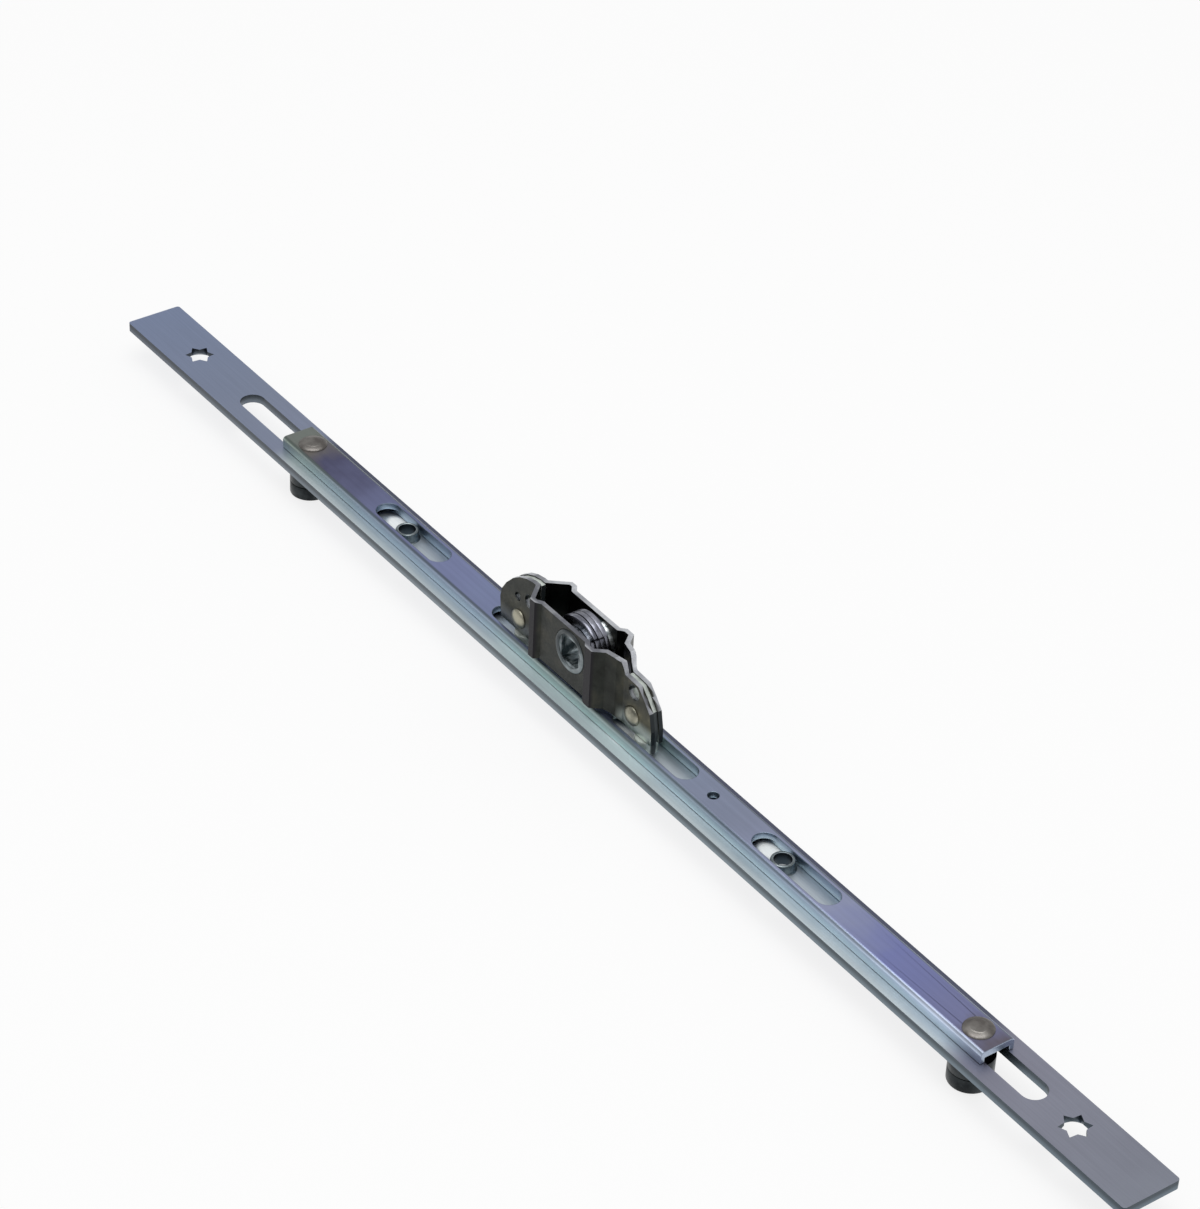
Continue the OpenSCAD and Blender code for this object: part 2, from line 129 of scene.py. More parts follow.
def paintRailLightAndShade(tree, strip, spot, facing, ground):
    # painted light and shade around the rail: a painted brighter strip under the rail with a painted darker far
    # margin, painted shade in the mouth of each bossed hole, a painted pale highlight beside each boss and beside the
    # right foot, and a painted pale glow on the near margin
    a, b, c, d = (v * mm for v in strip["spanMm"])
    enter = addNode(tree, "ShaderNodeMapRange", {"interpolation_type": "SMOOTHSTEP"}, {"From Min": a, "From Max": b}, {"Value": spot.outputs["X"]})
    leave = addNode(tree, "ShaderNodeMapRange", {"interpolation_type": "SMOOTHSTEP"}, {"From Min": c, "From Max": d, "To Min": 1.0, "To Max": 0.0},
                    {"Value": spot.outputs["X"]})
    rear = addNode(tree, "ShaderNodeMapRange", values={"From Min": 1.9 * mm, "From Max": 2.3 * mm}, links={"Value": spot.outputs["Z"]})
    span = addNode(tree, "ShaderNodeMath", {"operation": "MULTIPLY"}, links={0: enter.outputs["Result"], 1: leave.outputs["Result"]})
    inside = addNode(tree, "ShaderNodeMath", {"operation": "MULTIPLY"}, links={0: span.outputs[0], 1: rear.outputs["Result"]})
    onTop = addNode(tree, "ShaderNodeMath", {"operation": "MULTIPLY"}, links={0: inside.outputs[0], 1: facing.outputs["Result"]})
    # painted light and shade: the strip under the rail painted brighter, its far margin darker
    across = addNode(tree, "ShaderNodeMapRange", values={"From Min": -8 * mm, "From Max": 8 * mm}, links={"Value": spot.outputs["Y"]})
    acrossTint = addNode(tree, "ShaderNodeValToRGB", links={"Fac": across.outputs["Result"]})
    fillRamp(acrossTint, strip["acrossColors"])
    bright = addNode(tree, "ShaderNodeMix", {"data_type": "RGBA"}, links={"Factor": onTop.outputs[0]})
    tree.links.new(ground, bright.inputs[6])
    tree.links.new(acrossTint.outputs["Color"], bright.inputs[7])
    marks = []
    patches = [((side * strip["bossX"] + shift[0], shift[1]), size, inner) for side in (-1, 1)
               for shift, size, inner in (((0.0, 0.0), (strip["holeR"],) * 2, 0.97), (strip["highlightShift"], strip["highlightSize"], 0.55))]
    for centre, size, inner in patches + [(strip["footHighlightAt"], strip["footHighlightSize"], 0.5)]:
        centred = addNode(tree, "ShaderNodeVectorMath", {"operation": "SUBTRACT"}, links={0: spot.inputs["Vector"].links[0].from_socket})
        centred.inputs[1].default_value = (centre[0] * mm, centre[1] * mm, 0.0)
        scaled = addNode(tree, "ShaderNodeVectorMath", {"operation": "MULTIPLY"}, links={0: centred.outputs["Vector"]})
        scaled.inputs[1].default_value = (1 / (size[0] * mm), 1 / (size[1] * mm), 0.0)
        reach = addNode(tree, "ShaderNodeVectorMath", {"operation": "LENGTH"}, links={0: scaled.outputs["Vector"]})
        marks.append(addNode(tree, "ShaderNodeMapRange", {"interpolation_type": "SMOOTHSTEP"},
                             {"From Min": inner, "From Max": 1.0, "To Min": 1.0, "To Max": 0.0}, {"Value": reach.outputs["Value"]}))
    holes = addNode(tree, "ShaderNodeMath", {"operation": "ADD"}, links={0: marks[0].outputs["Result"], 1: marks[2].outputs["Result"]})
    pair = addNode(tree, "ShaderNodeMath", {"operation": "ADD"}, links={0: marks[1].outputs["Result"], 1: marks[3].outputs["Result"]})
    three = addNode(tree, "ShaderNodeMath", {"operation": "ADD"}, links={0: pair.outputs[0], 1: marks[4].outputs["Result"]})
    spots = addNode(tree, "ShaderNodeMath", {"operation": "MULTIPLY"}, links={0: three.outputs[0], 1: rear.outputs["Result"]})
    # painted light: a pale glow on the near margin beside the case
    a, b, c, d = (v * mm for v in strip["marginGlowMm"])
    begin = addNode(tree, "ShaderNodeMapRange", {"interpolation_type": "SMOOTHSTEP"}, {"From Min": a, "From Max": b}, {"Value": spot.outputs["X"]})
    stop = addNode(tree, "ShaderNodeMapRange", {"interpolation_type": "SMOOTHSTEP"}, {"From Min": c, "From Max": d, "To Min": 1.0, "To Max": 0.0},
                   {"Value": spot.outputs["X"]})
    nearSide = addNode(tree, "ShaderNodeMapRange", values={"From Min": -5.2 * mm, "From Max": -4.6 * mm, "To Min": 0.75, "To Max": 0.0},
                       links={"Value": spot.outputs["Y"]})
    stretch = addNode(tree, "ShaderNodeMath", {"operation": "MULTIPLY"}, links={0: begin.outputs["Result"], 1: stop.outputs["Result"]})
    nearTop = addNode(tree, "ShaderNodeMath", {"operation": "MULTIPLY"}, links={0: nearSide.outputs["Result"], 1: facing.outputs["Result"]})
    onMargin = addNode(tree, "ShaderNodeMath", {"operation": "MULTIPLY"}, links={0: nearTop.outputs[0], 1: rear.outputs["Result"]})
    marginGlow = addNode(tree, "ShaderNodeMath", {"operation": "MULTIPLY"}, links={0: stretch.outputs[0], 1: onMargin.outputs[0]})
    margin = addNode(tree, "ShaderNodeMix", {"data_type": "RGBA"}, links={"Factor": marginGlow.outputs[0], 6: bright.outputs[2]})
    margin.inputs[7].default_value = linearColor(strip["marginGlowColor"])
    # painted highlight: near white spots beside each boss and beside the right foot
    lit = addNode(tree, "ShaderNodeMix", {"data_type": "RGBA"}, links={"Factor": spots.outputs[0]})
    tree.links.new(margin.outputs[2], lit.inputs[6])
    lit.inputs[7].default_value = linearColor("#fbffff")
    # painted shade: the mouth of each bossed hole darkened
    dark = addNode(tree, "ShaderNodeMix", {"data_type": "RGBA"}, links={"Factor": holes.outputs[0]})
    tree.links.new(lit.outputs[2], dark.inputs[6])
    dark.inputs[7].default_value = linearColor("#39434b")
    paintedLightSpots = addNode(tree, "ShaderNodeMath", {"operation": "ADD", "use_clamp": True}, links={0: spots.outputs[0], 1: marginGlow.outputs[0]})
    return dark.outputs[2], paintedLightSpots.outputs[0]


def sheetSteel(name, spec, strip=None):
    # cold-rolled steel with clear blue-passivated zinc: a soft metallic grey that drifts between blue and violet along
    # the strip, partly passivation and partly painted reflection; faint rolling streaks along X; darker, rougher
    # sheared sides; top faces and sides coloured apart, partly finish and partly painted reflection
    material, tree, shader = startFinish(name)
    place = addNode(tree, "ShaderNodeTexCoord")
    spot = addNode(tree, "ShaderNodeSeparateXYZ", links={"Vector": place.outputs["Object"]})
    clouds = addNode(tree, "ShaderNodeTexNoise", values={"Scale": 1.0 / (spec["cloudMm"] * mm), "Detail": 4.0, "Roughness": 0.55},
                     links={"Vector": place.outputs["Object"]})
    sway = addNode(tree, "ShaderNodeMapRange", values={"From Min": 0.2, "From Max": 0.8, "To Min": -0.012, "To Max": 0.012},
                   links={"Value": clouds.outputs["Fac"]})
    drift = addNode(tree, "ShaderNodeMath", {"operation": "ADD"}, links={0: spot.outputs["X"], 1: sway.outputs["Result"]})
    low, high = spec["alongMm"]
    along = addNode(tree, "ShaderNodeMapRange", values={"From Min": low * mm, "From Max": high * mm}, links={"Value": drift.outputs[0]})
    tint = addNode(tree, "ShaderNodeValToRGB", links={"Fac": along.outputs["Result"]})
    fillRamp(tint, spec["alongColors"])
    stretch = addNode(tree, "ShaderNodeMapping", values={"Scale": (0.02, 1.0, 1.0)}, links={"Vector": place.outputs["Object"]})
    streaks = addNode(tree, "ShaderNodeTexNoise", values={"Scale": 1.0 / (spec["streakMm"] * mm), "Detail": 3.0},
                      links={"Vector": stretch.outputs["Vector"]})
    grain = addNode(tree, "ShaderNodeTexNoise", values={"Scale": 1.0 / (0.3 * mm), "Detail": 2.0},
                    links={"Vector": place.outputs["Object"]})
    split = addNode(tree, "ShaderNodeSeparateXYZ", links={"Vector": place.outputs["Normal"]})
    upward = addNode(tree, "ShaderNodeMath", {"operation": "ABSOLUTE"}, links={0: split.outputs["Z"]})
    facing = addNode(tree, "ShaderNodeMapRange", values={"From Min": 0.9, "From Max": 0.995}, links={"Value": upward.outputs[0]})
    sideTint = addNode(tree, "ShaderNodeValToRGB", links={"Fac": along.outputs["Result"]})
    fillRamp(sideTint, spec["sideColors"])
    # painted light: the lowest part of the side faces is lifted brighter, standing for the white floor mirrored there
    sideFootGlow = addNode(tree, "ShaderNodeMapRange", {"interpolation_type": "SMOOTHSTEP"}, {"From Min": 0.3 * mm, "From Max": 1.9 * mm,
                      "To Min": spec["sideFootGlowGain"], "To Max": 1.0}, {"Value": spot.outputs["Z"]})
    sides = addNode(tree, "ShaderNodeVectorMath", {"operation": "SCALE"}, links={"Vector": sideTint.outputs["Color"], "Scale": sideFootGlow.outputs["Result"]})
    sideColor, shade = sides.outputs["Vector"], None
    if "crestColors" in spec:  # painted reflection and painted shade: the folded walls darken towards the bend, which mirrors the room and not the floor
        rise = addNode(tree, "ShaderNodeMapRange", values={"From Min": 2.9 * mm, "From Max": 5.1 * mm}, links={"Value": spot.outputs["Z"]})
        crestTint = addNode(tree, "ShaderNodeValToRGB", links={"Fac": along.outputs["Result"]})
        fillRamp(crestTint, spec["crestColors"])
        wall = addNode(tree, "ShaderNodeMix", {"data_type": "RGBA"}, links={"Factor": rise.outputs["Result"]})
        tree.links.new(sideColor, wall.inputs[6])
        tree.links.new(crestTint.outputs["Color"], wall.inputs[7])
        bend = addNode(tree, "ShaderNodeValToRGB", links={"Fac": upward.outputs[0]})
        fillRamp(bend, spec["bendShade"])
        sideColor, shade = wall.outputs[2], bend.outputs["Color"]
    faces = addNode(tree, "ShaderNodeMix", {"data_type": "RGBA"}, links={"Factor": facing.outputs["Result"]})
    tree.links.new(sideColor, faces.inputs[6])
    tree.links.new(tint.outputs["Color"], faces.inputs[7])
    if shade:
        faces = addNode(tree, "ShaderNodeMix", {"data_type": "RGBA", "blend_type": "MULTIPLY"}, {"Factor": 1.0}, {6: faces.outputs[2], 7: shade})
    fade = addNode(tree, "ShaderNodeMapRange", values={"From Min": 0.3, "From Max": 0.7, "To Min": 0.95, "To Max": 1.04},
                   links={"Value": streaks.outputs["Fac"]})
    laid, paintedLightMask = faces.outputs[2], None
    if strip:
        laid, paintedLightMask = paintRailLightAndShade(tree, strip, spot, facing, faces.outputs[2])
    color = addNode(tree, "ShaderNodeVectorMath", {"operation": "SCALE"}, links={"Vector": laid, "Scale": fade.outputs["Result"]})
    rough = addNode(tree, "ShaderNodeMapRange", values={"From Min": 0.3, "From Max": 0.7, "To Min": spec["roughness"][0],
                    "To Max": spec["roughness"][1]}, links={"Value": clouds.outputs["Fac"]})
    relief = addNode(tree, "ShaderNodeMath", {"operation": "ADD"}, links={0: streaks.outputs["Fac"], 1: grain.outputs["Fac"]})
    bump = addNode(tree, "ShaderNodeBump", values={"Strength": 0.5, "Distance": spec["bumpMm"] * mm}, links={"Height": relief.outputs[0]})
    for name, source in {"Base Color": color.outputs["Vector"], "Roughness": rough.outputs["Result"], "Normal": bump.outputs["Normal"]}.items():
        tree.links.new(source, shader.inputs[name])
    shader.inputs["Metallic"].default_value = 1.0
    # the painted highlights and margin glow lose their metal so their pale colour shows
    if strip:
        paintedLightSpots = addNode(tree, "ShaderNodeMapRange", values={"To Min": 1.0, "To Max": 0.0}, links={"Value": paintedLightMask})
        tree.links.new(paintedLightSpots.outputs["Result"], shader.inputs["Metallic"])
    return material


faceplateSteel = sheetSteel("clearZincFaceplateSteel", zincPlate, paintedRailLight)
railSteel = sheetSteel("blueZincRailSteel", zincRail)


def pressedCase(name, spec):
    # dark zinc-nickel plated pressed sheet: near black with a satin lustre on the faces, edges bright partly as
    # die-cut steel and partly as painted highlight
    material, tree, shader = startFinish(name)
    place = addNode(tree, "ShaderNodeTexCoord")
    clouds = addNode(tree, "ShaderNodeTexNoise", values={"Scale": 1.0 / (spec["cloudMm"] * mm), "Detail": 5.0, "Roughness": 0.6},
                     links={"Vector": place.outputs["Object"]})
    tint = addNode(tree, "ShaderNodeValToRGB", links={"Fac": clouds.outputs["Fac"]})
    fillRamp(tint, [(0.3, spec["faceColors"][0]), (0.52, spec["faceColors"][1]), (0.72, spec["faceColors"][2])])
    spot = addNode(tree, "ShaderNodeSeparateXYZ", links={"Vector": place.outputs["Object"]})
    # painted highlight: rims brighten towards the far shell and on the outermost ribs
    shift = addNode(tree, "ShaderNodeMapRange", values={"From Min": -6 * mm, "From Max": 6 * mm, "To Min": -0.25, "To Max": 0.25},
                    links={"Value": spot.outputs["Y"]})
    outer = addNode(tree, "ShaderNodeMath", {"operation": "ABSOLUTE"}, links={0: spot.outputs["Y"]})
    crest = addNode(tree, "ShaderNodeMapRange", values={"From Min": 5.2 * mm, "From Max": 6.2 * mm, "To Max": 0.4}, links={"Value": outer.outputs[0]})
    rimBase = addNode(tree, "ShaderNodeMath", {"operation": "ADD"}, links={0: clouds.outputs["Fac"], 1: shift.outputs["Result"]})
    rimFac = addNode(tree, "ShaderNodeMath", {"operation": "ADD"}, links={0: rimBase.outputs[0], 1: crest.outputs["Result"]})
    rimTint = addNode(tree, "ShaderNodeValToRGB", links={"Fac": rimFac.outputs[0]})
    fillRamp(rimTint, [(0.3, spec["rimColors"][0]), (0.75, spec["rimColors"][1])])
    split = addNode(tree, "ShaderNodeSeparateXYZ", links={"Vector": place.outputs["Normal"]})
    endFace = addNode(tree, "ShaderNodeMapRange", values={"From Min": 0.95, "From Max": 0.975}, links={"Value": split.outputs["X"]})
    rimEnd = addNode(tree, "ShaderNodeMix", {"data_type": "RGBA"}, links={"Factor": endFace.outputs["Result"], 6: rimTint.outputs["Color"]})
    rimEnd.inputs[7].default_value = linearColor(spec["endShadeColor"])
    across = addNode(tree, "ShaderNodeMath", {"operation": "ABSOLUTE"}, links={0: split.outputs["Y"]})
    rim = addNode(tree, "ShaderNodeMapRange", values={"From Min": 0.05, "From Max": 0.3, "To Min": 1.0, "To Max": 0.0},
                  links={"Value": across.outputs[0]})
    # painted reflection: olive and beige blotches on the lower end portions
    outward = addNode(tree, "ShaderNodeMath", {"operation": "ABSOLUTE"}, links={0: spot.outputs["X"]})
    ends = addNode(tree, "ShaderNodeMapRange", values={"From Min": 15.5 * mm, "From Max": 19.5 * mm}, links={"Value": outward.outputs[0]})
    blotch = addNode(tree, "ShaderNodeTexNoise", values={"Scale": 1.0 / (7.0 * mm), "Detail": 5.0}, links={"Vector": place.outputs["Object"]})
    endReflectionTint = addNode(tree, "ShaderNodeValToRGB", links={"Fac": blotch.outputs["Fac"]})
    fillRamp(endReflectionTint, list(zip((0.38, 0.6, 0.72), spec["endReflectionColors"])))
    side = addNode(tree, "ShaderNodeMapRange", values={"From Min": -10 * mm, "From Max": 10 * mm}, links={"Value": spot.outputs["X"]})
    endReflectionShare = addNode(tree, "ShaderNodeMapRange", values={"To Min": 0.35, "To Max": 1.0}, links={"Value": side.outputs["Result"]})
    low = addNode(tree, "ShaderNodeMapRange", values={"From Min": 8 * mm, "From Max": 16 * mm, "To Min": 1.0, "To Max": 0.1},
                  links={"Value": spot.outputs["Z"]})
    lowEnds = addNode(tree, "ShaderNodeMath", {"operation": "MULTIPLY"}, links={0: ends.outputs["Result"], 1: low.outputs["Result"]})
    endReflected = addNode(tree, "ShaderNodeMath", {"operation": "MULTIPLY"}, links={0: lowEnds.outputs[0], 1: endReflectionShare.outputs["Result"]})
    face = addNode(tree, "ShaderNodeMix", {"data_type": "RGBA"}, links={"Factor": endReflected.outputs[0]})
    tree.links.new(tint.outputs["Color"], face.inputs[6])
    tree.links.new(endReflectionTint.outputs["Color"], face.inputs[7])
    # painted reflection: a pale band low on the end portions
    lowReflectionReach = addNode(tree, "ShaderNodeMapRange", {"interpolation_type": "SMOOTHSTEP"}, {"From Min": 6.5 * mm, "From Max": 11.5 * mm,
                       "To Min": 0.9, "To Max": 0.0}, {"Value": spot.outputs["Z"]})
    lowReflectionFac = addNode(tree, "ShaderNodeMath", {"operation": "MULTIPLY"}, links={0: ends.outputs["Result"], 1: lowReflectionReach.outputs["Result"]})
    lowReflectionTint = addNode(tree, "ShaderNodeValToRGB", links={"Fac": side.outputs["Result"]})
    fillRamp(lowReflectionTint, [(0.0, spec["lowReflectionColors"][0]), (1.0, spec["lowReflectionColors"][1])])
    lowReflected = addNode(tree, "ShaderNodeMix", {"data_type": "RGBA"}, links={"Factor": lowReflectionFac.outputs[0], 6: face.outputs[2], 7: lowReflectionTint.outputs["Color"]})
    # painted shade on the rib fronts that stand furthest out along Y
    depth = addNode(tree, "ShaderNodeMath", {"operation": "ABSOLUTE"}, links={0: spot.outputs["Y"]})
    proud = addNode(tree, "ShaderNodeMapRange", values={"From Min": 5.5 * mm, "From Max": 6.2 * mm}, links={"Value": depth.outputs[0]})
    ribbed = addNode(tree, "ShaderNodeMix", {"data_type": "RGBA"}, links={"Factor": proud.outputs["Result"]})
    tree.links.new(lowReflected.outputs[2], ribbed.inputs[6])
    ribbed.inputs[7].default_value = linearColor(spec["ribShadeColor"])
    color = addNode(tree, "ShaderNodeMix", {"data_type": "RGBA"}, links={"Factor": rim.outputs["Result"]})
    tree.links.new(ribbed.outputs[2], color.inputs[6])
    tree.links.new(rimEnd.outputs[2], color.inputs[7])
    grain = addNode(tree, "ShaderNodeTexNoise", values={"Scale": 1.0 / (spec["grainMm"] * mm), "Detail": 3.0},
                    links={"Vector": place.outputs["Object"]})
    rough = addNode(tree, "ShaderNodeMapRange", values={"From Min": 0.3, "From Max": 0.7, "To Min": spec["roughness"][0],
                    "To Max": spec["roughness"][1]}, links={"Value": grain.outputs["Fac"]})
    bump = addNode(tree, "ShaderNodeBump", values={"Strength": 0.3, "Distance": 0.00002}, links={"Height": grain.outputs["Fac"]})
    for name, source in {"Base Color": color.outputs[2], "Roughness": rough.outputs["Result"], "Normal": bump.outputs["Normal"]}.items():
        tree.links.new(source, shader.inputs[name])
    shader.inputs["Metallic"].default_value = 1.0
    return material


caseSteel = pressedCase("darkPlatedCaseSteel", darkCase)


def turnedSteel(name, colors, roughness, grainMm=0.2, boreSheenColors=None, paintedLightSlope=None, endShadeColor=None, metallic=1.0):
    # plated turned or stamped steel: even metallic sheen, fine tool grain, slightly cloudy where the plating pooled
    material, tree, shader = startFinish(name)
    place = addNode(tree, "ShaderNodeTexCoord")
    clouds = addNode(tree, "ShaderNodeTexNoise", values={"Scale": 1.0 / (3.0 * mm), "Detail": 4.0}, links={"Vector": place.outputs["Object"]})
    tint = addNode(tree, "ShaderNodeValToRGB", links={"Fac": clouds.outputs["Fac"]})
    fillRamp(tint, [(0.35, colors[0]), (0.65, colors[1])])
    colored = tint.outputs["Color"]
    if paintedLightSlope:  # painted light and shade, one side brighter than the other: direction, low mm, high mm, gain below and gain above, measured along that direction
        reach = addNode(tree, "ShaderNodeVectorMath", {"operation": "DOT_PRODUCT"}, links={0: place.outputs["Object"]})
        reach.inputs[1].default_value = paintedLightSlope[0]
        gain = addNode(tree, "ShaderNodeMapRange", {"interpolation_type": "SMOOTHSTEP"},
                       {"From Min": paintedLightSlope[1] * mm, "From Max": paintedLightSlope[2] * mm, "To Min": paintedLightSlope[3], "To Max": paintedLightSlope[4]}, {"Value": reach.outputs["Value"]})
        colored = addNode(tree, "ShaderNodeVectorMath", {"operation": "SCALE"}, links={"Vector": colored, "Scale": gain.outputs["Result"]}).outputs["Vector"]
    if endShadeColor:  # painted shade on narrow edges that face along X
        turned = addNode(tree, "ShaderNodeSeparateXYZ", links={"Vector": place.outputs["Normal"]})
        endFace = addNode(tree, "ShaderNodeMapRange", values={"From Min": 0.93, "From Max": 0.975}, links={"Value": turned.outputs["X"]})
        ended = addNode(tree, "ShaderNodeMix", {"data_type": "RGBA"}, links={"Factor": endFace.outputs["Result"], 6: colored})
        ended.inputs[7].default_value = linearColor(endShadeColor)
        colored = ended.outputs[2]
    if boreSheenColors:  # walls that stand along Y, with a painted reflection in bright diagonal streaks
        split = addNode(tree, "ShaderNodeSeparateXYZ", links={"Vector": place.outputs["Normal"]})
        face = addNode(tree, "ShaderNodeMath", {"operation": "ABSOLUTE"}, links={0: split.outputs["Y"]})
        bore = addNode(tree, "ShaderNodeMapRange", values={"From Min": 0.1, "From Max": 0.5, "To Min": 1.0, "To Max": 0.0},
                       links={"Value": face.outputs[0]})
        lean = addNode(tree, "ShaderNodeMapping", values={"Rotation": (0.0, math.radians(28), 0.0), "Scale": (1.0, 0.4, 0.25)},
                       links={"Vector": place.outputs["Object"]})
        sheenStreaks = addNode(tree, "ShaderNodeTexNoise", values={"Scale": 1.0 / (1.1 * mm), "Detail": 3.0}, links={"Vector": lean.outputs["Vector"]})
        sheenTint = addNode(tree, "ShaderNodeValToRGB", links={"Fac": sheenStreaks.outputs["Fac"]})
        fillRamp(sheenTint, [(0.42, boreSheenColors[0]), (0.6, boreSheenColors[1])])
        walls = addNode(tree, "ShaderNodeMix", {"data_type": "RGBA"}, links={"Factor": bore.outputs["Result"], 6: colored, 7: sheenTint.outputs["Color"]})
        colored = walls.outputs[2]
    grain = addNode(tree, "ShaderNodeTexNoise", values={"Scale": 1.0 / (grainMm * mm), "Detail": 3.0}, links={"Vector": place.outputs["Object"]})
    rough = addNode(tree, "ShaderNodeMapRange", values={"From Min": 0.3, "From Max": 0.7, "To Min": roughness - 0.07,
                    "To Max": roughness + 0.09}, links={"Value": grain.outputs["Fac"]})
    bump = addNode(tree, "ShaderNodeBump", values={"Strength": 0.3, "Distance": 0.00002}, links={"Height": grain.outputs["Fac"]})
    for name, source in {"Base Color": colored, "Roughness": rough.outputs["Result"], "Normal": bump.outputs["Normal"]}.items():
        tree.links.new(source, shader.inputs[name])
    shader.inputs["Metallic"].default_value = metallic
    return material


hubSteel = turnedSteel("darkPlatedHubSteel", ["#343a3d", "#8b9598"], 0.34, boreSheenColors=["#5b666a", "#f2f8fa"])
# painted shade: the bead darkens towards its upper left, leaving its lower right lit
beadSteel = turnedSteel("hubBeadSteelWithPaintedShade", ["#5d6568", "#8f979a"], 0.34, paintedLightSlope=((-0.6, 0.0, 0.8), 11.0, 16.5, 1.0, 0.34))
plateSteel = turnedSteel("stampedPinionSteel", ["#72747f", "#a8aab6"], 0.28)
rivetSteel = turnedSteel("headedRivetSteel", ["#6c6c62", "#aaa796"], 0.33)
# painted shade on the ends of the feet that face along X
footSteel = turnedSteel("brightZincFootSteel", ["#b0b8b2", "#dfe6e0"], 0.4, endShadeColor="#3a4042", metallic=0.5)
studSteel = turnedSteel("brownedStudSteel", ["#6e6a67", "#918e8a"], 0.38)
camSteel = turnedSteel("blackenedCamSteel", ["#26292b", "#3d4143"], 0.38)
bossSteel = turnedSteel("drawnBossSteel", ["#5f696d", "#98a2a5"], 0.3)

finishOf = {
    "faceplate": faceplateSteel, "drive_rail": railSteel, "near_shell": caseSteel, "far_shell": caseSteel,
    "left_foot": footSteel, "right_foot": footSteel, "left_case_rivet": rivetSteel, "right_case_rivet": rivetSteel,
    "near_hub": hubSteel, "far_hub": hubSteel, "near_tooth_plate": plateSteel, "far_tooth_plate": plateSteel,
    "near_side_plate": plateSteel, "far_side_plate": plateSteel, "plate_rivets": rivetSteel,
    "left_stud": studSteel, "right_stud": studSteel, "left_cam": camSteel, "right_cam": camSteel,
    "left_cam_ring": camSteel, "right_cam_ring": camSteel,
}
for nodeName, finish in finishOf.items():
    nodes[nodeName].data.materials.clear()
    nodes[nodeName].data.materials.append(finish)
print("finishes laid on", len(finishOf), "nodes")

# the press and the plating leave every edge a little round: width in millimetres of that rounding for each node
edgeRound = {
    "faceplate": 0.2, "drive_rail": 0.15, "near_shell": 0.18, "far_shell": 0.18, "left_foot": 0.15, "right_foot": 0.15,
    "left_case_rivet": 0.2, "right_case_rivet": 0.2, "near_hub": 0.15, "far_hub": 0.15, "near_tooth_plate": 0.32,
    "far_tooth_plate": 0.32, "near_side_plate": 0.32, "far_side_plate": 0.3, "plate_rivets": 0.15, "left_stud": 0.15,
    "right_stud": 0.15, "left_cam": 0.3, "right_cam": 0.3, "left_cam_ring": 0.3, "right_cam_ring": 0.3,
}
for nodeName, width in edgeRound.items():
    weld = nodes[nodeName].modifiers.new("weld", "WELD")
    weld.merge_threshold = 0.000001
    bevel = nodes[nodeName].modifiers.new("roundEdges", "BEVEL")
    bevel.width = width * mm
    bevel.segments = 2
    bevel.limit_method = "ANGLE"
    bevel.angle_limit = math.radians(38)
    bevel.use_clamp_overlap = True
    bevel.harden_normals = False
    bevel.miter_outer = "MITER_ARC"
print("edges rounded")


def turnedPiece(name, profile, place, along, finish, body, steps=96):
    # a closed profile of (radius, height) in mm turned about an axis: a point is place + height * axis
    # + radius * (cos t * side + sin t * cross); a row of radius 0 becomes one pole
    radius, height = (np.array(column) * mm for column in zip(*profile))
    axis = np.array(along, float)
    side = np.array((1.0, 0.0, 0.0)) if abs(axis[0]) < 0.5 else np.array((0.0, 1.0, 0.0))
    cross = np.cross(axis, side)
    angle = np.linspace(0.0, 2 * math.pi, steps, endpoint=False)
    ring = np.cos(angle)[:, None] * side + np.sin(angle)[:, None] * cross
    points = (np.array(place) * mm + height[:, None, None] * axis + radius[:, None, None] * ring).reshape(-1, 3)
    rows = len(radius)
    index = np.arange(rows * steps).reshape(rows, steps)
    index[radius == 0] = index[radius == 0][:, :1]
    closed = np.all(radius > 0)
    first = index if closed else index[:-1]
    second = np.roll(index, -1, axis=0) if closed else index[1:]
    quads = np.stack([first, np.roll(first, -1, axis=1), np.roll(second, -1, axis=1), second], axis=-1).reshape(-1, 4)
    whole = quads[(quads[:, 0] != quads[:, 1]) & (quads[:, 2] != quads[:, 3])]
    topFan = quads[(quads[:, 0] == quads[:, 1])][:, [0, 2, 3]]
    lowFan = quads[(quads[:, 2] == quads[:, 3])][:, [0, 1, 2]]
    used, inverse = np.unique(np.concatenate([whole.ravel(), topFan.ravel(), lowFan.ravel()]), return_inverse=True)
    cut = [len(whole) * 4, len(whole) * 4 + len(topFan) * 3]
    faces = inverse[:cut[0]].reshape(-1, 4).tolist() + inverse[cut[0]:cut[1]].reshape(-1, 3).tolist() + inverse[cut[1]:].reshape(-1, 3).tolist()
    mesh = bpy.data.meshes.new(name)
    mesh.from_pydata(points[used].tolist(), [], faces)
    form = bmesh.new()
    form.from_mesh(mesh)
    bmesh.ops.recalc_face_normals(form, faces=form.faces)
    form.to_mesh(mesh)
    form.free()
    mesh.polygons.foreach_set("use_smooth", np.ones(len(mesh.polygons), bool))
    mesh.materials.append(finish)
    piece = bpy.data.objects.new(name, mesh)
    bpy.context.collection.objects.link(piece)
    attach(piece, body)
    return piece


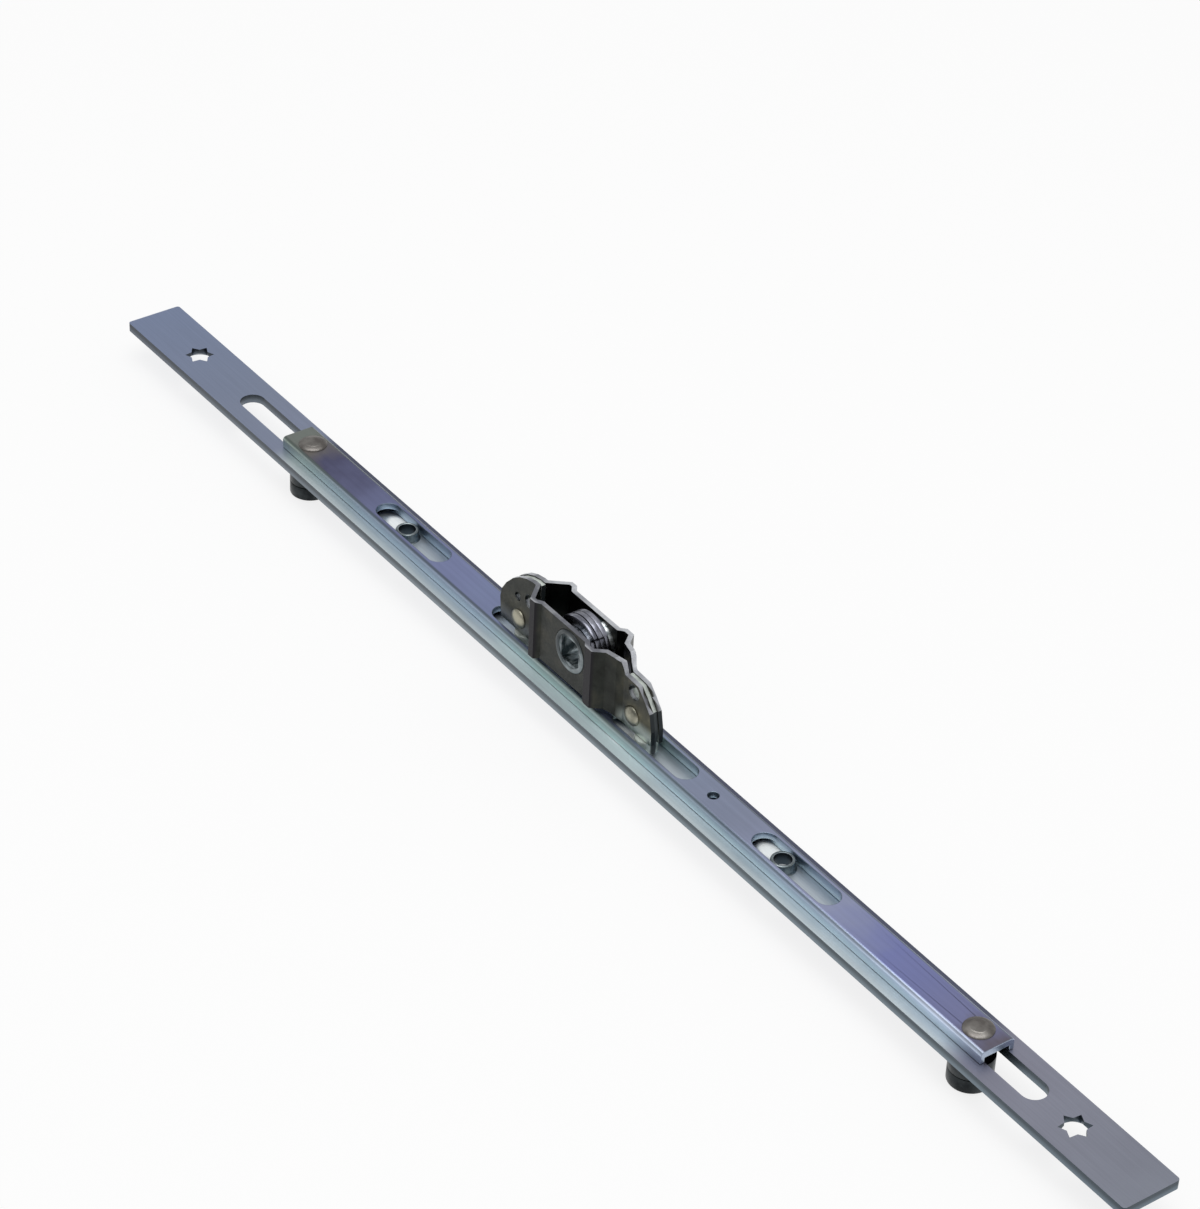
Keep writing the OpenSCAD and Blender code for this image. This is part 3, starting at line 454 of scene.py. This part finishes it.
# flared foot and rolled lip of the two drawn bosses: outward radius falls from the plate to the lip
boss = {"places": {"leftBossFlare": -78.0, "rightBossFlare": 78.0}, "footR": 3.55, "wallR": 2.98, "lipR": 2.2, "floor": 2.48, "top": 5.2}
for bossName, bossX in boss["places"].items():
    flare = [(boss["wallR"] + (boss["footR"] - boss["wallR"]) * (1 - math.sin(t)), boss["floor"] + 0.6 * (1 - math.cos(t)))
             for t in np.linspace(0, math.pi / 2, 8)]
    lip = [(2.62 + 0.36 * math.cos(t), boss["top"] - 0.3 + 0.3 * math.sin(t)) for t in np.linspace(0, math.pi, 12)]
    turnedPiece(bossName, flare + lip + [(2.24, boss["top"] - 1.2), (2.6, boss["floor"])], (bossX, 0.0, 0.0), (0, 0, 1), bossSteel, "base")

# raised bead around the outer edge of each hub collar, a half round in section
bead = {"middleR": 5.05, "halfWidth": 0.68, "rise": 0.42, "face": 5.15}
for beadName, way in {"nearHubBead": -1.0, "farHubBead": 1.0}.items():
    section = [(bead["middleR"] + bead["halfWidth"] * math.cos(t), bead["face"] + bead["rise"] * math.sin(t)) for t in np.linspace(0, math.pi, 14)]
    turnedPiece(beadName, section, (0.0, 0.0, 17.5), (0, way, 0), beadSteel, "pinion")

# orbital-formed heads of the two cam studs: a low dome with a dished middle
head = {"places": {"leftStudDome": -122.7, "rightStudDome": 147.5}, "seat": 5.82, "height": 0.95, "outerR": 3.75}
for headName, headX in head["places"].items():
    dome = [(head["outerR"] * math.sin(t), head["seat"] + head["height"] * math.cos(t) - 0.22 * math.exp(-(t / 0.32) ** 2))
            for t in np.linspace(0, math.pi / 2, 24)]
    dome[0] = (0.0, dome[0][1])
    turnedPiece(headName, dome + [(head["outerR"], head["seat"] - 0.02), (0.0, head["seat"] - 0.02)], (headX, 0.0, 0.0), (0, 0, 1), studSteel, "rail")

# upset heads of the two case rivets, domed over the bevelled heads on both faces
upset = {"places": {"left": (-25.9, 9.8), "right": (21.2, 10.4)}, "seat": 1.82, "height": 1.05, "outerR": 2.68}
for rivetName, (rivetX, rivetZ) in upset["places"].items():
    for faceName, way in {"Near": -1.0, "Far": 1.0}.items():
        cap = [(upset["outerR"] * math.sin(t), upset["seat"] + upset["height"] * math.cos(t)) for t in np.linspace(0, math.pi / 2, 16)]
        cap[0] = (0.0, cap[0][1])
        turnedPiece(rivetName + faceName + "RivetCap", cap + [(upset["outerR"], upset["seat"] - 0.02), (0.0, upset["seat"] - 0.02)],
                    (rivetX, 0.0, rivetZ), (0, way, 0), rivetSteel, "base")
print("turned detail pieces made")

studio = {"floorZ": -0.0088, "floorSize": 6.0, "worldLevel": 0.55, "floorGlow": 0.8}

floorMesh = bpy.data.meshes.new("paleFloor")
half = studio["floorSize"] / 2
floorMesh.from_pydata([(-half, -half, studio["floorZ"]), (half, -half, studio["floorZ"]), (half, half, studio["floorZ"]), (-half, half, studio["floorZ"])],
                      [], [(0, 1, 2, 3)])
floor = bpy.data.objects.new("paleFloor", floorMesh)
bpy.context.collection.objects.link(floor)

floorPaint = bpy.data.materials.new("paleStudioFloor")
floorPaint.use_nodes = True
floorTree = floorPaint.node_tree
floorTree.nodes.clear()
matte = addNode(floorTree, "ShaderNodeBsdfDiffuse", values={"Color": linearColor("#f4f4f4")})
glow = addNode(floorTree, "ShaderNodeEmission", values={"Color": (1.0, 1.0, 1.0, 1.0), "Strength": 1.0})
path = addNode(floorTree, "ShaderNodeLightPath")
seen = addNode(floorTree, "ShaderNodeMath", {"operation": "MAXIMUM"},
               links={0: path.outputs["Is Camera Ray"], 1: path.outputs["Is Glossy Ray"]})
seenAll = addNode(floorTree, "ShaderNodeMath", {"operation": "MAXIMUM"},
                  links={0: seen.outputs[0], 1: path.outputs["Is Transmission Ray"]})
share = addNode(floorTree, "ShaderNodeMath", {"operation": "MULTIPLY"}, {1: studio["floorGlow"]}, {0: seenAll.outputs[0]})
floorMix = addNode(floorTree, "ShaderNodeMixShader", links={0: share.outputs[0], 1: matte.outputs[0], 2: glow.outputs[0]})
addNode(floorTree, "ShaderNodeOutputMaterial", links={"Surface": floorMix.outputs[0]})
floorMesh.materials.append(floorPaint)

world = bpy.data.worlds.new("softRoom")
world.use_nodes = True
world.node_tree.nodes.clear()
sky = addNode(world.node_tree, "ShaderNodeBackground", values={"Color": (1.0, 1.0, 1.0, 1.0), "Strength": studio["worldLevel"]})
addNode(world.node_tree, "ShaderNodeOutputWorld", links={"Surface": sky.outputs[0]})
bpy.context.scene.world = world

lamps = {  # place in metres, size in metres, power in watts
    "overheadSoftbox": {"place": (0.1, -0.1, 1.5), "size": 1.2, "power": 12.0},
}
for lampName, lamp in lamps.items():
    data = bpy.data.lights.new(lampName, "AREA")
    data.shape = "SQUARE"
    data.size = lamp["size"]
    data.energy = lamp["power"]
    light = bpy.data.objects.new(lampName, data)
    bpy.context.collection.objects.link(light)
    spot = Matrix.Translation(lamp["place"])
    aim = -spot.translation.normalized()
    light.matrix_world = spot @ aim.to_track_quat("-Z", "Y").to_matrix().to_4x4()
print("studio ready")

camera = {
    "place": (0.60645, -0.4625, 0.5849),
    "right": (0.58406835, 0.81062509, 0.04184635),
    "down": (0.49776765, -0.31697417, -0.80731329),
    "ahead": (-0.6411642, 0.4923559, -0.58863753),
    "lensMm": 117.77,
}
cameraData = bpy.data.cameras.new("photoCamera")
cameraData.lens = camera["lensMm"]
cameraData.sensor_width = 36.0
cameraData.clip_start = 0.01
cameraData.clip_end = 20.0
photoCamera = bpy.data.objects.new("photoCamera", cameraData)
bpy.context.collection.objects.link(photoCamera)
right, down, ahead = (np.array(camera[k]) for k in ("right", "down", "ahead"))
turn = Matrix([list(row) for row in np.stack([right, -down, -ahead], axis=1)])
photoCamera.matrix_world = Matrix.Translation(camera["place"]) @ turn.to_4x4()
bpy.context.scene.camera = photoCamera
bpy.context.scene.view_settings.view_transform = "Standard"
print("camera set")
